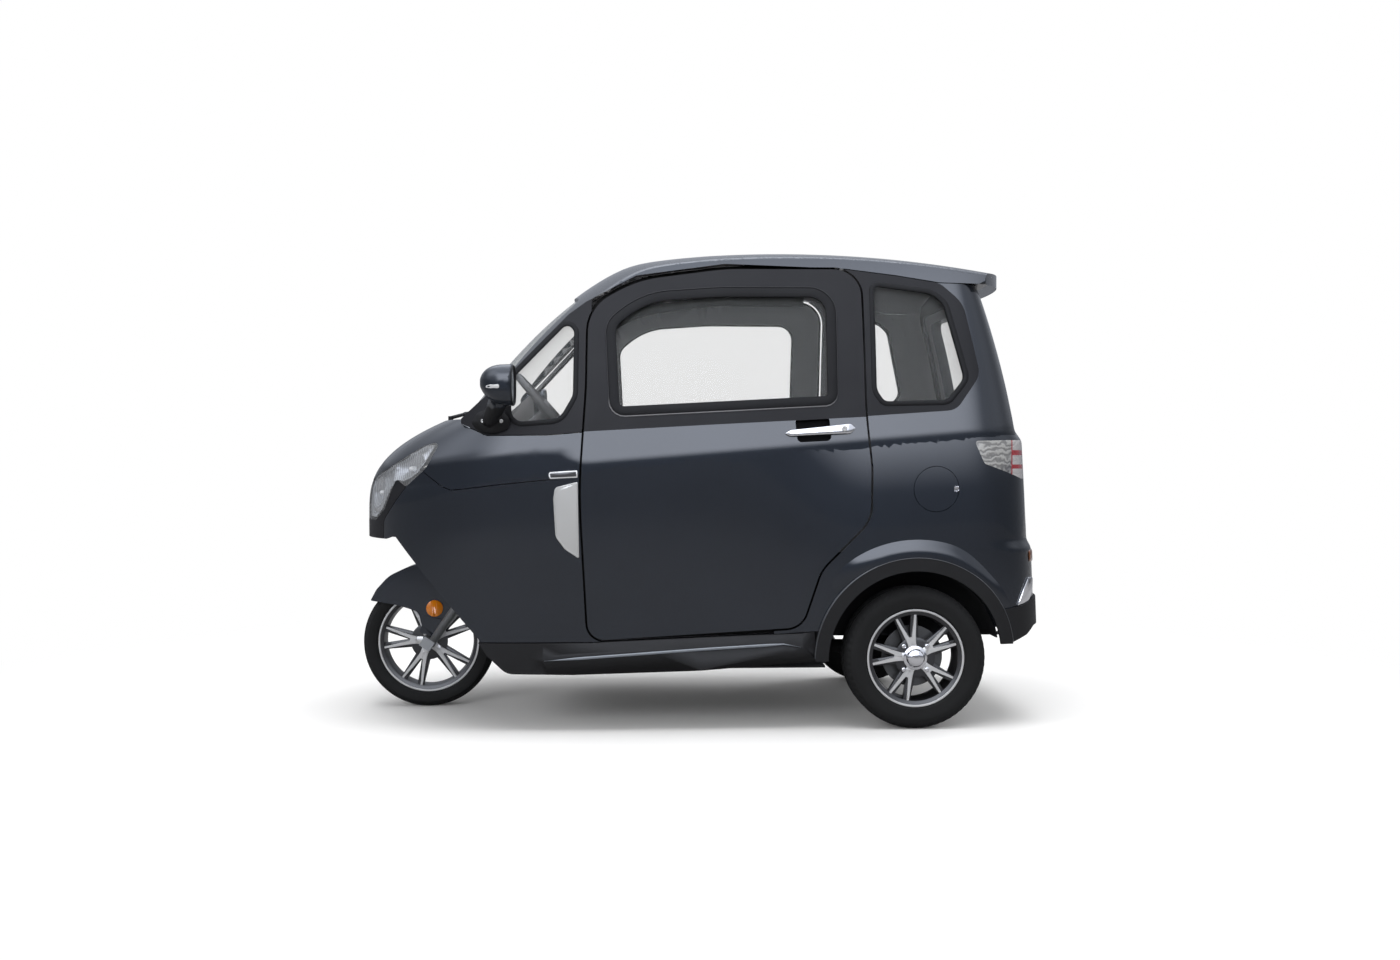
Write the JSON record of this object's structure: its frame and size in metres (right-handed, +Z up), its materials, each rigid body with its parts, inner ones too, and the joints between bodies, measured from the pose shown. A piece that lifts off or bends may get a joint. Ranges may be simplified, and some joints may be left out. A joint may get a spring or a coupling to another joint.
{
  "type": "three wheeled car",
  "caption": "Small enclosed three wheeled cabin car with one steered front wheel, side doors, a rear hatch and a high roof over driver and rear bench.",
  "frame": {"origin": "on the ground, under the middle of the car's length and width", "axes": "+X forward, +Y to the car's left, +Z up"},
  "size_m": [2.422, 1.5366, 1.6587],
  "materials": {
    "dark_paint": "dark blue-grey metallic gloss",
    "black_frame": "black, half gloss",
    "clear_glass": "clear, faintly green",
    "bright_metal": "bright plated",
    "clear_lamp": "clear lens over bright reflector",
    "red_lamp": "red and clear lens",
    "black_plastic": "black, moulded",
    "steel_paint": "black coated steel",
    "fork_steel": "silver painted steel",
    "rim_metal": "machined face over dark sides",
    "seal_rubber": "black foam rubber",
    "tyre": "black rubber",
    "floor_cover": "dark grey covering",
    "grey_plastic": "dark grey grained",
    "seat_cover": "grey woven cover",
    "amber_lens": "amber lens"
  },
  "bodies": {
    "body": {"rear_side_left": "dark_paint", "rear_side_right": "dark_paint", "tail_panel": "dark_paint", "tail_lamps": "red_lamp", "window_frames": "black_frame", "quarter_glass": "clear_glass", "roof": "dark_paint", "spoiler": "dark_paint", "windscreen": "clear_glass", "bonnet": "dark_paint", "front_side_left": "dark_paint", "front_side_right": "dark_paint", "nose_centre": "black_frame", "headlamps": "clear_lamp", "rear_bumper": "black_plastic", "arch_trims": "black_plastic", "wheel_housings": "black_plastic", "sills": "black_plastic", "mirrors": "dark_paint", "side_trims": "bright_metal", "wiper": "black_plastic", "chassis_frame": "steel_paint", "rear_axle": "steel_paint", "rear_dampers": "steel_paint", "floor_pan": "floor_cover", "opening_seals": "seal_rubber", "charge_inlet": "black_plastic", "front_well": "black_plastic", "dashboard": "grey_plastic", "battery_box": "black_plastic", "seat_bases": "steel_paint", "driver_seat": "seat_cover", "rear_seat": "seat_cover"},
    "door_left": {"door_left": "dark_paint", "door_frame_left": "black_frame", "door_glass_left": "clear_glass", "door_handle_left": "bright_metal"},
    "door_right": {"door_right": "dark_paint", "door_frame_right": "black_frame", "door_glass_right": "clear_glass", "door_handle_right": "bright_metal"},
    "hatch": {"hatch": "dark_paint", "hatch_glass": "clear_glass"},
    "charge_flap": {"charge_flap": "dark_paint"},
    "steering_wheel": {"steering_wheel": "grey_plastic"},
    "fork": {"fork": "fork_steel", "front_mudguard": "black_plastic", "front_reflectors": "amber_lens"},
    "front_wheel": {"front_tyre": "tyre", "front_rim": "rim_metal"},
    "rear_left_wheel": {"rear_left_tyre": "tyre", "rear_left_rim": "rim_metal"},
    "rear_right_wheel": {"rear_right_tyre": "tyre", "rear_right_rim": "rim_metal"}
  },
  "joints": [
    {"name": "steer", "type": "hinge", "parent": "body", "child": "fork", "pos_m": [0.94447, 0, 0.22211], "axis": [-0.5592, 0, 0.829], "range_deg": [-35, 35]},
    {"name": "steering_wheel_turn", "type": "hinge", "parent": "body", "child": "steering_wheel", "pos_m": [0.53, 0, 1.09], "axis": [-0.7513, 0, 0.66], "range_deg": [-350, 350]},
    {"name": "front_wheel_spin", "type": "hinge", "parent": "fork", "child": "front_wheel", "pos_m": [0.971, 0, 0.24], "axis": [0, 1, 0], "continuous": true},
    {"name": "rear_left_wheel_spin", "type": "hinge", "parent": "body", "child": "rear_left_wheel", "pos_m": [-0.735, 0.471, 0.24], "axis": [0, 1, 0], "continuous": true},
    {"name": "rear_right_wheel_spin", "type": "hinge", "parent": "body", "child": "rear_right_wheel", "pos_m": [-0.735, -0.471, 0.24], "axis": [0, 1, 0], "continuous": true},
    {"name": "door_left_hinge", "type": "hinge", "parent": "body", "child": "door_left", "pos_m": [0.394, 0.576, 0.6], "axis": [0, 0, -1], "range_deg": [0, 65]},
    {"name": "door_right_hinge", "type": "hinge", "parent": "body", "child": "door_right", "pos_m": [0.394, -0.576, 0.6], "axis": [0, 0, 1], "range_deg": [0, 65]},
    {"name": "hatch_hinge", "type": "hinge", "parent": "body", "child": "hatch", "pos_m": [-1.01, 0, 1.5], "axis": [0, 1, 0], "range_deg": [0, 75]},
    {"name": "charge_flap_hinge", "type": "hinge", "parent": "body", "child": "charge_flap", "pos_m": [-0.717, 0.574, 0.811], "axis": [0, 0, -1], "range_deg": [0, 110]}
  ],
  "couplings": [
    {"joint": "steering_wheel_turn", "follows": "steer", "ratio": 10}
  ]
}
